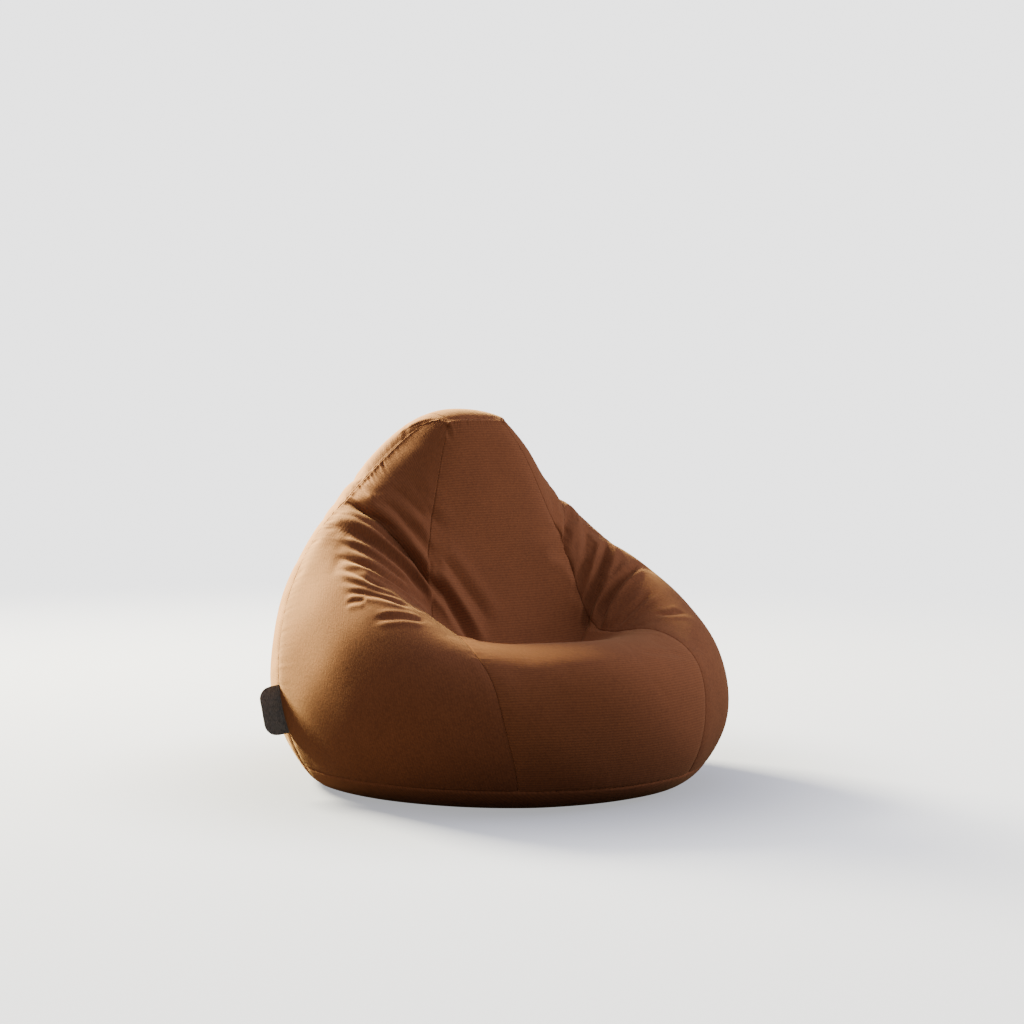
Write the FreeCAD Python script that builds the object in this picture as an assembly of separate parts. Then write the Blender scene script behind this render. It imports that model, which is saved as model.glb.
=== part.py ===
import FreeCAD, Part
import math
import os

# Bean bag chair: a sewn cover of shaped panels over a liner full of beads.
# Millimetres. +Z up, the chair faces -Y, +X is the viewer's right from the front.

V = FreeCAD.Vector
os.makedirs("parts", exist_ok=True)

# ---------------------------------------------------------------- driving dimensions
WIDTH = 900.0            # overall width, side bulge to side bulge
DEPTH = 942.0            # overall depth, front bulge to back bulge
HEIGHT = 750.0           # floor to the top of the backrest

CROWN_SLACK = 28.0       # the beads settle this far below the top
COVER_T = 1.6            # woven cover cloth, two layers lapped at the seams
LINER_T = 0.8            # liner cloth
SEAM_INSET = 0.0003      # each panel's edge stands back this fraction of the surface

# Seams, as fractions of each surface. u runs from the left side seam to the right one,
# v from the floor to the top edge.
U_PANEL = 0.26           # seams beside the front panel and the backrest panel
U_REAR = 0.27            # seams beside the back panel
V_BASE = 0.076           # base seam
V_SEAT = 0.622           # seam between the seat and the backrest, in the crease
V_ARM = 0.742            # seam between each arm and the backrest's side
V_LINER_ZIP = 0.155      # zip in the liner's back

# Zips. Across the chain, from its middle line; out of the cloth, from its middle.
ZIP_HALF = 36.0          # half the cover zip's opening, degrees round the back
LINER_ZIP_HALF = 22.0    # the same for the liner's zip
LINER_ZIP_SIZE = 0.8     # the liner's chain is a size smaller
COIL_R = 1.1             # one side of the closed chain
COIL_GAP = 1.0           # between the two sides, where the slider's wedge runs
TAPE_T = 0.7
TAPE_W = 6.6
TAPE_CLEAR = 1.3         # tape to the cloth that covers its edge
SLIDER_L = 13.0
SLIDER_RIM = 1.3         # the slider's folded rims
PLATE = 1.0              # the slider's two plates
PLATE_CLEAR = 0.4        # plate to chain
STOP_L = 2.7             # top and bottom stops, along the chain
SLOT_CLEAR = 1.1         # slider to the cloth's edge on each side
LAYER_CLEAR = 1.5        # slider to the next layer in
PIN_R = 0.8              # the pull's pin
PIN_CLEAR = 0.1          # round the pin
EYE_WALL = 0.8           # the pull's eye, round its hole
PULL_L = 22.0
PULL_W = 7.0
PULL_T = 1.6
LUG_T = 1.2              # the crown's two lugs
LUG_CLEAR = 0.3          # lug to pull

LABEL_H = 100.0          # label, along the seam
LABEL_W = 44.0           # how far it stands out
LABEL_T = 2.4            # folded webbing, two layers
LABEL_R = 26.0           # its outer corners
LABEL_CLEAR = 0.8        # label to cover
V_LABEL = 0.200          # its middle

COIL_M = COIL_GAP / 2 + COIL_R                       # middle of one side of the chain
TAPE_IN = COIL_GAP / 2 + 2 * COIL_R + 0.2            # tape's inner edge
TAPE_OUT = TAPE_IN + TAPE_W
PLATE_N = COIL_R + PLATE_CLEAR                       # inside of each plate
PLATE_OUT = PLATE_N + PLATE
SLIDER_W = 2 * (TAPE_IN + 1.3 + SLIDER_RIM)
SLOT = SLIDER_W / 2 + SLOT_CLEAR                     # the cloth's edge beside the chain
PULL_EYE = PIN_R + PIN_CLEAR + EYE_WALL
PIN_N = PLATE_OUT + PULL_EYE + 0.4                   # the pin, out from the chain's middle
ZIP_SINK = COVER_T + TAPE_CLEAR + TAPE_T / 2         # cover's outside to the chain's middle
LINER_DEPTH = ZIP_SINK + PLATE_OUT + LAYER_CLEAR     # cover's outside to the liner's
LINER_ZIP_SINK = LINER_DEPTH + LINER_T + TAPE_CLEAR + LINER_ZIP_SIZE * TAPE_T / 2
FILL_DEPTH = LINER_ZIP_SINK + LINER_ZIP_SIZE * PLATE_OUT + LAYER_CLEAR

# ---------------------------------------------------------------- the sack's shape
# Control points of the right half, one column from the floor to the top edge.
# Every column has the same rows: floor, floor, base seam, bulge, bulge, rim,
# rim or arm top, arm, seat, crease, backrest, backrest, backrest, top edge.
CENTRE = [(0, -335, 0), (0, -415, 0), (0, -462, 57), (0, -488, 155), (0, -480, 250),
          (0, -440, 308), (0, -322, 325), (0, -185, 275), (0, -75, 228), (0, -22, 262),
          (0, 8, 415), (0, 45, 575), (0, 75, 690), (0, 82, 732)]
MIDWAY = [(85, -325, 0), (105, -402, 0), (115, -448, 60), (128, -468, 155), (130, -453, 250),
          (124, -403, 305), (108, -292, 321), (92, -165, 278), (86, -60, 230), (88, -14, 280),
          (88, 10, 430), (68, 48, 570), (46, 78, 690), (34, 86, 734)]
PANEL = [(165, -300, 0), (198, -363, 0), (222, -408, 62), (252, -408, 155), (260, -380, 246),
         (248, -325, 298), (216, -228, 318), (188, -130, 284), (172, -46, 262), (184, 6, 420),
         (166, 30, 500), (128, 60, 590), (84, 84, 690), (64, 90, 732)]
ARM_FRONT = [(285, -195, 0), (336, -230, 0), (380, -265, 62), (418, -280, 155), (424, -262, 255),
             (398, -205, 350), (342, -128, 420), (286, -56, 438), (234, 2, 452), (202, 42, 485),
             (188, 74, 546), (146, 92, 625), (96, 102, 698), (70, 96, 732)]
ARM_SIDE = [(345, -30, 0), (408, -36, 0), (446, -42, 62), (466, -42, 155), (464, -24, 257),
            (438, 16, 365), (390, 56, 448), (342, 84, 502), (294, 108, 538), (256, 126, 557),
            (230, 141, 590), (168, 140, 655), (104, 124, 706), (74, 106, 734)]
SIDE_SEAM = [(342, 90, 0), (378, 98, 0), (412, 112, 62), (436, 132, 145), (440, 145, 228),
             (428, 158, 315), (402, 170, 398), (362, 180, 470), (318, 186, 526), (270, 186, 568),
             (212, 184, 620), (150, 174, 680), (100, 150, 720), (72, 118, 732)]
REAR_CORNER = [(278, 213, 0), (321, 246, 0), (361, 277, 62), (380, 291, 150), (384, 295, 233),
               (380, 292, 316), (360, 286, 393), (328, 278, 462), (288, 268, 522), (250, 252, 580),
               (212, 232, 644), (162, 203, 706), (110, 154, 748), (70, 110, 734)]
REAR_MIDWAY = [(152, 306, 0), (180, 362, 0), (203, 407, 62), (213, 428, 150), (216, 433, 233),
               (213, 428, 316), (200, 408, 393), (181, 382, 462), (160, 352, 526), (140, 322, 588),
               (118, 284, 650), (94, 236, 714), (72, 166, 763), (48, 92, 733)]
REAR_CENTRE = [(0, 342, 0), (0, 404, 0), (0, 455, 62), (0, 478, 150), (0, 484, 233),
               (0, 473, 316), (0, 447, 393), (0, 417, 462), (0, 384, 530), (0, 350, 592),
               (0, 308, 658), (0, 250, 719), (0, 172, 772), (0, 82, 732)]

# The control points' own span, which the three overall sizes stretch.
NET_WIDTH, NET_FRONT, NET_BACK, NET_HEIGHT = 898.1, 476.3, 464.7, 750.8


def sized(column, side):
    """One column at the stated overall size, on the right (1) or mirrored (-1)."""
    sx = WIDTH / NET_WIDTH
    sy = DEPTH / (NET_FRONT + NET_BACK)
    sz = HEIGHT / NET_HEIGHT
    return [V(side * x * sx, (y - (NET_BACK - NET_FRONT) / 2) * sy, z * sz) for x, y, z in column]


def open_knots(count):
    """Knots and multiplicities of a clamped cubic with this many control points."""
    spans = count - 3
    return [i / spans for i in range(spans + 1)], [4] + [1] * (spans - 1) + [4]


def bspline(net):
    uk, um = open_knots(len(net))
    vk, vm = open_knots(len(net[0]))
    s = Part.BSplineSurface()
    s.buildFromPolesMultsKnots(net, um, vm, uk, vk, False, False, 3, 3)
    return s


def mirrored_net(half):
    """half runs from the side seam to the centre column."""
    left = [sized(c, -1) for c in half[:-1]]
    right = [sized(c, 1) for c in reversed(half[:-1])]
    return left + [sized(half[-1], 1)] + right


front_net = mirrored_net([SIDE_SEAM, ARM_SIDE, ARM_FRONT, PANEL, MIDWAY, CENTRE])

# The rear is drawn with seven columns, then given as many as the front so that the two
# surfaces share the top edge control point by control point.
coarse = bspline(mirrored_net([SIDE_SEAM, REAR_CORNER, REAR_MIDWAY, REAR_CENTRE]))
for k in (1, 3, 5, 7):
    coarse.insertUKnot(k / 8.0, 1, 1e-9)
rear_net = [list(row) for row in coarse.getPoles()]
for col, front_col in zip(rear_net, front_net):
    col[-1] = front_col[-1]

N_COL, N_ROW = len(front_net), len(front_net[0])


def greville(count, i):
    knots, mults = open_knots(count)
    flat = [k for k, m in zip(knots, mults) for _ in range(m)]
    return sum(flat[i + 1:i + 4]) / 3.0


def outward(net):
    """Unit normal at every control point, pointing out of the sack."""
    s = bspline(net)
    out = []
    for i in range(N_COL):
        col = []
        for j in range(N_ROW):
            u = min(max(greville(N_COL, i), 0.004), 0.996)
            v = min(max(greville(N_ROW, j), 0.004), 0.996)
            du, dv = tangents(s, u, v)
            n = du.cross(dv)
            n.normalize()
            col.append(n)
        out.append(col)
    return out


def tangents(s, u, v):
    e = 1e-4
    return (s.value(u + e, v) - s.value(u - e, v), s.value(u, v + e) - s.value(u, v - e))


front_out = outward(front_net)
rear_out = outward([list(c) for c in reversed(rear_net)])
rear_out = list(reversed(rear_out))
for j in range(N_ROW):                       # the floor rows are offset straight up
    for field in (front_out, rear_out):
        for i in range(N_COL):
            if j < 2:
                field[i][j] = V(0, 0, -1)
for j in range(2, N_ROW):                    # shared side seams
    for i in (0, N_COL - 1):
        n = front_out[i][j] + rear_out[i][j]
        n.normalize()
        front_out[i][j] = rear_out[i][j] = n


crown = sized([(0, 150, 690)], 1)[0]         # the top edge of each layer draws in towards this
for net, field in ((front_net, front_out), (rear_net, rear_out)):
    for i in range(N_COL):
        for j in (N_ROW - 2, N_ROW - 1):
            field[i][j] = net[i][j] - crown
            field[i][j].normalize()


def layer(net, field, depth):
    """The surface this far inside the cover's outside."""
    return bspline([[p - n * depth for p, n in zip(c, f)] for c, f in zip(net, field)])


def front_at(depth):
    return layer(front_net, front_out, depth)


def rear_at(depth):
    return layer(rear_net, rear_out, depth)


def patch(s, u0, u1, v0, v1):
    p = s.copy()
    p.segment(u0, u1, v0, v1)
    return p


def borders(p):
    """The patch's four border curves: u low, u high, v low, v high."""
    a, b, c, d = p.bounds()
    return [p.uIso(a), p.uIso(b), p.vIso(c), p.vIso(d)]


def strip(a, b):
    """Straight across from one border to the same border of the next layer."""
    s = Part.BSplineSurface()
    s.buildFromPolesMultsKnots([a.getPoles(), b.getPoles()], [2, 2], a.getMultiplicities(),
                               [0, 1], a.getKnots(), False, False, 1, a.Degree)
    return s.toShape()


def closed_solid(faces):
    shell = Part.Compound(faces)
    shell.sewShape(0.01)
    solid = Part.makeSolid(Part.Shell(shell.Faces))
    if solid.Volume < 0:
        solid.reverse()
    return solid


def panel(at, u0, u1, v0, v1, depth=0.0, thick=COVER_T):
    """A cloth panel: its outside, its inside and the four narrow edges."""
    g = SEAM_INSET
    outer = patch(at(depth), u0 + g, u1 - g, v0 + g, v1 - g)
    inner = patch(at(depth + thick), u0 + g, u1 - g, v0 + g, v1 - g)
    faces = [outer.toShape(), inner.toShape()]
    faces += [strip(a, b) for a, b in zip(borders(outer), borders(inner))]
    return closed_solid(faces)


def disc(depth):
    f, r = front_at(depth), rear_at(depth)
    wire = Part.Wire([f.vIso(0).toShape(), r.vIso(0).toShape()])
    return Part.Face(wire)


def dish(v1, depth, thick):
    """The flat base with the band that curves up from it to a seam."""
    faces = [disc(depth), disc(depth + thick)]
    for at in (front_at, rear_at):
        outer = patch(at(depth), 0, 1, 0, v1 - SEAM_INSET)
        inner = patch(at(depth + thick), 0, 1, 0, v1 - SEAM_INSET)
        faces += [outer.toShape(), inner.toShape()]
        faces.append(strip(borders(outer)[3], borders(inner)[3]))
    return closed_solid(faces)


def fill(depth):
    """The beads: the closed body inside a layer, level on top where they have settled."""
    body = closed_solid([front_at(depth).toShape(), rear_at(depth).toShape(), disc(depth)])
    empty = Part.makeBox(WIDTH, DEPTH, CROWN_SLACK, V(-WIDTH / 2, -DEPTH / 2, HEIGHT - CROWN_SLACK))
    return body.cut(empty)


def save(name, shape):
    shape.exportStep("parts/%s.step" % name)
    b = shape.BoundBox
    print("%-24s solids %d valid %s vol %.1f cm3 z %.1f..%.1f" % (
        name, len(shape.Solids), shape.isValid(), shape.Volume / 1000, b.ZMin, b.ZMax))


# ---------------------------------------------------------------- zips
class Zip:
    """A closed zip chain lying on a level circle in the slope of the sack's back."""

    def __init__(self, v, depth, size, half):
        s = rear_at(0)
        p = s.value(0.5, v)
        du, m = tangents(s, 0.5, v)
        m.normalize()
        n = V(0, m.z, -m.y)
        self.size, self.half = size, half
        self.m, self.n = m, n
        self.mid = p - n * depth
        u = 0.5
        while abs(s.value(u, v).x) < p.y * math.sin(math.radians(half)):
            u += 0.002
        q = s.value(u, v)
        radius = (q.x ** 2 + (p.y - q.y) ** 2) / (2 * (p.y - q.y))
        self.centre = V(0, p.y - radius, 0)          # the slider turns about this upright axis

    def at(self, m, n):
        return self.mid + self.m * (m * self.size) + self.n * (n * self.size)

    def degrees(self, length):
        """The angle that a length along the chain takes up."""
        return math.degrees(length * self.size / (self.mid.y - self.centre.y))

    def sweep(self, face, a0, a1):
        face.rotate(self.centre, V(0, 0, 1), a0)
        return face.revolve(self.centre, V(0, 0, 1), a1 - a0)

    def block(self, m0, m1, n0, n1, a0, a1):
        corners = [self.at(m0, n0), self.at(m1, n0), self.at(m1, n1), self.at(m0, n1)]
        return self.sweep(Part.Face(Part.makePolygon(corners + corners[:1])), a0, a1)

    def coil(self, side):
        circle = Part.Circle(self.at(side * COIL_M, 0), V(1, 0, 0), COIL_R * self.size)
        return self.sweep(Part.Face(Part.Wire(circle.toShape())), -self.half, self.half)

    def tape(self, side):
        lo, hi = sorted((side * TAPE_IN, side * TAPE_OUT))
        return self.block(lo, hi, -TAPE_T / 2, TAPE_T / 2, -self.half - 2, self.half + 2)

    def stop(self, sign):
        gap = self.degrees(0.5)
        a0, a1 = sorted((sign * (self.half + gap), sign * (self.half + gap + self.degrees(STOP_L))))
        return self.block(-TAPE_IN + 0.3, TAPE_IN - 0.3, -COIL_R, COIL_R, a0, a1)

    def slot(self):
        """What the cloth leaves open round the chain."""
        end = self.half + self.degrees(STOP_L + 6)
        return self.block(-SLOT, SLOT, -COIL_R, COIL_R + 8, -end, end)

    def rest(self):
        """The slider stands this far from the middle of the back, at the closed end."""
        return -(self.half - self.degrees(SLIDER_L / 2 + 3.5))

    def place(self, shape, angle):
        """From the slider's own frame: x along the chain, y up the slope, z out."""
        m, n, p = self.m, self.n, self.mid
        s = shape.copy()
        s.Placement = FreeCAD.Placement(FreeCAD.Matrix(-1, 0, 0, p.x, 0, m.y, n.y, p.y,
                                                       0, m.z, n.z, p.z, 0, 0, 0, 1))
        s.rotate(self.centre, V(0, 0, 1), angle)
        return s


def box(x0, x1, y0, y1, z0, z1):
    return Part.makeBox(x1 - x0, y1 - y0, z1 - z0, V(x0, y0, z0))


def slider(k, crown):
    """Two plates joined by a thin wedge that runs between the two sides of the chain."""
    hl, hw = SLIDER_L * k / 2, SLIDER_W * k / 2
    inner, outer, lip = PLATE_N * k, PLATE_OUT * k, (TAPE_T / 2 + 0.35) * k
    body = box(-hl, hl, -hw, hw, inner, outer)
    body = body.fuse(box(-hl, hl, -hw, hw, -outer, -inner))
    blade = COIL_GAP * k / 4
    body = body.fuse(box(hl - 4 * k, hl, -blade, blade, -inner, inner))
    for side in (-1, 1):
        y0, y1 = sorted((side * (hw - SLIDER_RIM * k), side * hw))
        for z0, z1 in ((lip, inner), (-inner, -lip)):
            body = body.fuse(box(-hl, hl, y0, y1, z0, z1))
    if crown:
        y_in = PULL_W / 4 + LUG_CLEAR
        for side in (-1, 1):
            y0, y1 = sorted((side * y_in, side * (y_in + LUG_T)))
            body = body.fuse(box(-1.6, 1.6, y0, y1, outer, PIN_N + PIN_R + 0.6))
        reach = y_in + LUG_T
        body = body.fuse(Part.makeCylinder(PIN_R, 2 * reach, V(0, -reach, PIN_N), V(0, 1, 0)))
    body = body.removeSplitter()
    corners = [e for e in body.Edges if len(e.Vertexes) == 2
               and all(abs(abs(q.X) - hl) < 1e-6 and abs(abs(q.Y) - hw) < 1e-6 for q in e.Vertexes)
               and abs(e.Vertexes[0].Z - e.Vertexes[1].Z) > 1e-6]
    return body.makeFillet(1.0 * k, corners)


def pull():
    """A flat tab hanging from the crown's pin."""
    neck, h = PULL_W / 4, PULL_T / 2
    body = Part.makeCylinder(PULL_EYE, 2 * neck, V(0, -neck, PIN_N), V(0, 1, 0))
    body = body.fuse(box(-h, h, -neck, neck, PIN_N, PIN_N + 5))
    tab = box(-h, h, -PULL_W / 2, PULL_W / 2, PIN_N + 4, PIN_N + PULL_L)
    tab = tab.makeFillet(PULL_W / 3, [e for e in tab.Edges if abs(e.Length - PULL_T) < 1e-6])
    grip = box(-h - 1, h + 1, -neck, neck, PIN_N + PULL_L - 9, PIN_N + PULL_L - 4)
    hole = Part.makeCylinder(PIN_R + PIN_CLEAR, 3 * neck, V(0, -1.5 * neck, PIN_N), V(0, 1, 0))
    return body.fuse(tab).cut(grip).cut(hole)


# ---------------------------------------------------------------- label
def label(v_mid):
    """Webbing folded into a flag that stands out of the left side seam."""
    s, u = rear_at(0), 0.0
    mid = s.value(u, v_mid)
    du, m = tangents(s, 0.004, v_mid)
    m.normalize()
    n = V(0, 0, 0)
    for face in (s, front_at(0)):                # midway between the two panels it parts
        fu, fv = tangents(face, 0.004, v_mid)
        q = fu.cross(fv)
        q.normalize()
        n += q if q.dot(mid) > 0 else q * -1
    n -= m * n.dot(m)
    n.normalize()
    t = m.cross(n)
    h, w, r = LABEL_H / 2, LABEL_W, LABEL_R
    root, v, step = [], v_mid, 0.0015
    while (s.value(u, v) - mid).dot(m) > -h:
        v -= step
    while not root or (root[-1] - mid).dot(m) < h:   # the edge that follows the seam
        q = s.value(u, v) - mid
        root.append(mid + m * q.dot(m) + n * (q.dot(n) + LABEL_CLEAR))
        v += step * 4
    curve = Part.BSplineCurve()
    curve.interpolate(root)
    a, b = root[0], root[-1]
    la, lb = (a - mid).dot(m), (b - mid).dot(m)

    def p(x, y):
        return mid + m * x + n * y

    c = r * (1 - math.sqrt(0.5))
    edges = [curve.toShape(), Part.makeLine(b, p(lb, w - r)),
             Part.Arc(p(lb, w - r), p(lb - c, w - c), p(lb - r, w)).toShape(),
             Part.makeLine(p(lb - r, w), p(la + r, w)),
             Part.Arc(p(la + r, w), p(la + c, w - c), p(la, w - r)).toShape(),
             Part.makeLine(p(la, w - r), a)]
    face = Part.Face(Part.Wire(edges))
    face.translate(t * (-LABEL_T / 2))
    return face.extrude(t * LABEL_T)


# ---------------------------------------------------------------- the parts
cover_zip = Zip(V_BASE, ZIP_SINK, 1.0, ZIP_HALF)
liner_zip = Zip(V_LINER_ZIP, LINER_ZIP_SINK, LINER_ZIP_SIZE, LINER_ZIP_HALF)
UL, UR = U_PANEL, 1 - U_PANEL

save("seat_front_panel", panel(front_at, UL, UR, V_BASE, V_SEAT))
save("backrest_panel", panel(front_at, UL, UR, V_SEAT, 1))
for name, lo, hi in (("left", 0, UL), ("right", UR, 1)):
    save("arm_panel_" + name, panel(front_at, lo, hi, V_BASE, V_ARM))
    save("backrest_side_" + name, panel(front_at, lo, hi, V_ARM, 1))
slot = cover_zip.slot()
for name, lo, hi in (("rear_side_left", 0, U_REAR), ("back_panel", U_REAR, 1 - U_REAR),
                     ("rear_side_right", 1 - U_REAR, 1)):
    save(name, panel(rear_at, lo, hi, V_BASE, 1).cut(slot))
save("base_panel", dish(V_BASE, 0.0, COVER_T).cut(slot))

liner_slot = liner_zip.slot()
save("liner_front", panel(front_at, 0, 1, V_BASE, 1, LINER_DEPTH, LINER_T))
liner_back = panel(rear_at, 0, 1, V_BASE, 1, LINER_DEPTH, LINER_T).cut(liner_slot)
for side in (-1, 1):                         # clipped where the side and top seams meet
    a, b = sized([(57, 102, 712), (90, 145, 760)], side)
    notch = Part.makeBox(abs(b.x - a.x), b.y - a.y, b.z - a.z, V(min(a.x, b.x), a.y, a.z))
    liner_back = liner_back.cut(notch)
save("liner_back", liner_back)
save("liner_base", dish(V_BASE, LINER_DEPTH, LINER_T))
save("bead_fill", fill(FILL_DEPTH))

for prefix, z, crown in (("zipper", cover_zip, True), ("liner_zipper", liner_zip, False)):
    save(prefix + "_tape_upper", z.tape(1))
    save(prefix + "_tape_lower", z.tape(-1))
    save(prefix + "_coil_upper", z.coil(1))
    save(prefix + "_coil_lower", z.coil(-1))
    save(prefix + "_slider", z.place(slider(z.size, crown), z.rest()))
    save(prefix + "_top_stop", z.stop(-1))
    save(prefix + "_bottom_stop", z.stop(1))
    if crown:
        save(prefix + "_pull", z.place(pull(), z.rest()))
    pin = z.place(Part.Vertex(0, 0, PIN_N), z.rest()).Point
    along = z.place(Part.Vertex(0, 1, PIN_N), z.rest()).Point - pin
    print(prefix, "turns about", z.centre, "travels %.2f" % (-2 * z.rest()), "pin", pin, along)
save("side_label", label(V_LABEL))
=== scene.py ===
import math

import bmesh
import bpy
import numpy as np
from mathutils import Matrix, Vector


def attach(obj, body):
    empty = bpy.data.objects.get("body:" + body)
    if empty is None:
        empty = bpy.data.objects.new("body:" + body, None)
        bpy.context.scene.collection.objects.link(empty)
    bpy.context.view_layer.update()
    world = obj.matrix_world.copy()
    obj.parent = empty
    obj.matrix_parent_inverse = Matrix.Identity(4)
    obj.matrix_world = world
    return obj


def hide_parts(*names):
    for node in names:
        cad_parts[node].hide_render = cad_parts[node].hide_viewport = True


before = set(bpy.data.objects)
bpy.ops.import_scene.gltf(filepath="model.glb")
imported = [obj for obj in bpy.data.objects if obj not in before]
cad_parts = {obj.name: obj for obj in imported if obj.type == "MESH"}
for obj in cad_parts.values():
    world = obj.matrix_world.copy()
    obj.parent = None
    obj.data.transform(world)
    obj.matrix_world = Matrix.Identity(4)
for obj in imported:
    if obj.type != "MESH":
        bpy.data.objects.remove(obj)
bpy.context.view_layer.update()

# Bean bag chair. Metres, +Z up, the chair faces -Y, +X is the viewer's right from the front.
MM = 0.001
BODY = "sack"

# ------------------------------------------------------------------ the sack's shape
# Control points of the right half in millimetres, one column from the floor to the top edge,
# and each with the same rows: floor, floor, base seam, bulge, bulge, rim, rim or arm top,
# arm, seat, crease, backrest, backrest, backrest, top edge.
CENTRE = [(0, -335, 0), (0, -415, 0), (0, -462, 57), (0, -488, 155), (0, -480, 250),
          (0, -440, 308), (0, -322, 325), (0, -185, 275), (0, -75, 228), (0, -22, 262),
          (0, 8, 415), (0, 45, 575), (0, 75, 690), (0, 82, 732)]
MIDWAY = [(85, -325, 0), (105, -402, 0), (115, -448, 60), (128, -468, 155), (130, -453, 250),
          (124, -403, 305), (108, -292, 321), (92, -165, 278), (86, -60, 230), (88, -14, 280),
          (88, 10, 430), (68, 48, 570), (46, 78, 690), (34, 86, 734)]
PANEL = [(165, -300, 0), (198, -363, 0), (222, -408, 62), (252, -408, 155), (260, -380, 246),
         (248, -325, 298), (216, -228, 318), (188, -130, 284), (172, -46, 262), (184, 6, 420),
         (166, 30, 500), (128, 60, 590), (84, 84, 690), (64, 90, 732)]
ARM_FRONT = [(285, -195, 0), (336, -230, 0), (380, -265, 62), (418, -280, 155), (424, -262, 255),
             (398, -205, 350), (342, -128, 420), (286, -56, 438), (234, 2, 452), (202, 42, 485),
             (188, 74, 546), (146, 92, 625), (96, 102, 698), (70, 96, 732)]
ARM_SIDE = [(345, -30, 0), (408, -36, 0), (446, -42, 62), (466, -42, 155), (464, -24, 257),
            (438, 16, 365), (390, 56, 448), (342, 84, 502), (294, 108, 538), (256, 126, 557),
            (230, 141, 590), (168, 140, 655), (104, 124, 706), (74, 106, 734)]
SIDE_SEAM = [(342, 90, 0), (378, 98, 0), (412, 112, 62), (436, 132, 145), (440, 145, 228),
             (428, 158, 315), (402, 170, 398), (362, 180, 470), (318, 186, 526), (270, 186, 568),
             (212, 184, 620), (150, 174, 680), (100, 150, 720), (72, 118, 732)]
REAR_CORNER = [(278, 213, 0), (321, 246, 0), (361, 277, 62), (380, 291, 150), (384, 295, 233),
               (380, 292, 316), (360, 286, 393), (328, 278, 462), (288, 268, 522), (250, 252, 580),
               (212, 232, 644), (162, 203, 706), (110, 154, 748), (70, 110, 734)]
REAR_MIDWAY = [(152, 306, 0), (180, 362, 0), (203, 407, 62), (213, 428, 150), (216, 433, 233),
               (213, 428, 316), (200, 408, 393), (181, 382, 462), (160, 352, 526), (140, 322, 588),
               (118, 284, 650), (94, 236, 714), (72, 166, 763), (48, 92, 733)]
REAR_CENTRE = [(0, 342, 0), (0, 404, 0), (0, 455, 62), (0, 478, 150), (0, 484, 233),
               (0, 473, 316), (0, 447, 393), (0, 417, 462), (0, 384, 530), (0, 350, 592),
               (0, 308, 658), (0, 250, 719), (0, 172, 772), (0, 82, 732)]
NET_WIDTH, NET_FRONT, NET_BACK, NET_HEIGHT = 898.1, 476.3, 464.7, 750.8
WIDTH, DEPTH, HEIGHT = 900.0, 942.0, 750.0

# Seams, as fractions of each surface: v runs from the floor to the top edge.
V_BASE = 0.076
V_SEAT = 0.622
V_ARM = 0.742
U_REAR = 0.27
# The seams beside the front and backrest panels, (v, u), which the stuffing pulls off true.
LEFT_SEAM = [(0.0, 0.262), (0.16, 0.257), (0.30, 0.254), (0.40, 0.236), (0.50, 0.230),
             (0.62, 0.240), (0.74, 0.253), (0.90, 0.264), (1.0, 0.247)]
RIGHT_SEAM = [(0.0, 0.712), (0.14, 0.710), (0.30, 0.716), (0.43, 0.726), (0.55, 0.744),
              (0.62, 0.777), (0.68, 0.806), (0.76, 0.812), (0.90, 0.822), (1.0, 0.785)]


def knots(count):
    return np.concatenate([[0] * 3, np.linspace(0, 1, count - 2), [1] * 3])


def basis(count, t):
    """Cubic B-spline weights of each control point at each t."""
    k = knots(count)
    t = np.clip(t, 0, 1 - 1e-9)[:, None]
    w = ((t >= k[:-1]) & (t < k[1:])).astype(float)
    for d in range(1, 4):
        lo, hi = k[d:-1] - k[:-1 - d], k[d + 1:] - k[1:-d]
        a = np.where(lo > 0, (t - k[:-1 - d]) / np.where(lo > 0, lo, 1), 0)
        b = np.where(hi > 0, (k[d + 1:] - t) / np.where(hi > 0, hi, 1), 0)
        w = a * w[:, :-1] + b * w[:, 1:]
    return w


def sized(column, side):
    p = np.array(column, float)
    p[:, 0] *= side * WIDTH / NET_WIDTH
    p[:, 1] = (p[:, 1] - (NET_BACK - NET_FRONT) / 2) * DEPTH / (NET_FRONT + NET_BACK)
    p[:, 2] *= HEIGHT / NET_HEIGHT
    return p * MM


def both_sides(half):
    """half runs from the side seam to the centre column."""
    left = [sized(c, -1) for c in half[:-1]]
    right = [sized(c, 1) for c in half[:-1]]
    return np.array(left + [sized(half[-1], 1)] + right[::-1])


FRONT = both_sides([SIDE_SEAM, ARM_SIDE, ARM_FRONT, PANEL, MIDWAY, CENTRE])
t = np.linspace(0, 1, 101)
finer = np.linalg.lstsq(basis(11, t), basis(7, t), rcond=None)[0]
REAR = np.einsum("ij,jkl->ikl", finer, both_sides([SIDE_SEAM, REAR_CORNER, REAR_MIDWAY, REAR_CENTRE]))
REAR[:, -1] = FRONT[:, -1]


def place(net, u, v):
    """Points of a surface at arrays of u and v."""
    shape = np.broadcast(u, v).shape
    u, v = np.broadcast_to(u, shape).ravel(), np.broadcast_to(v, shape).ravel()
    rows = basis(net.shape[1], v) @ net.transpose(1, 0, 2).reshape(net.shape[1], -1)
    p = (basis(net.shape[0], u)[:, :, None] * rows.reshape(len(u), -1, 3)).sum(1)
    return p.reshape(*shape, 3)


def unit(a):
    return a / np.maximum(np.linalg.norm(a, axis=-1, keepdims=True), 1e-12)


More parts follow.
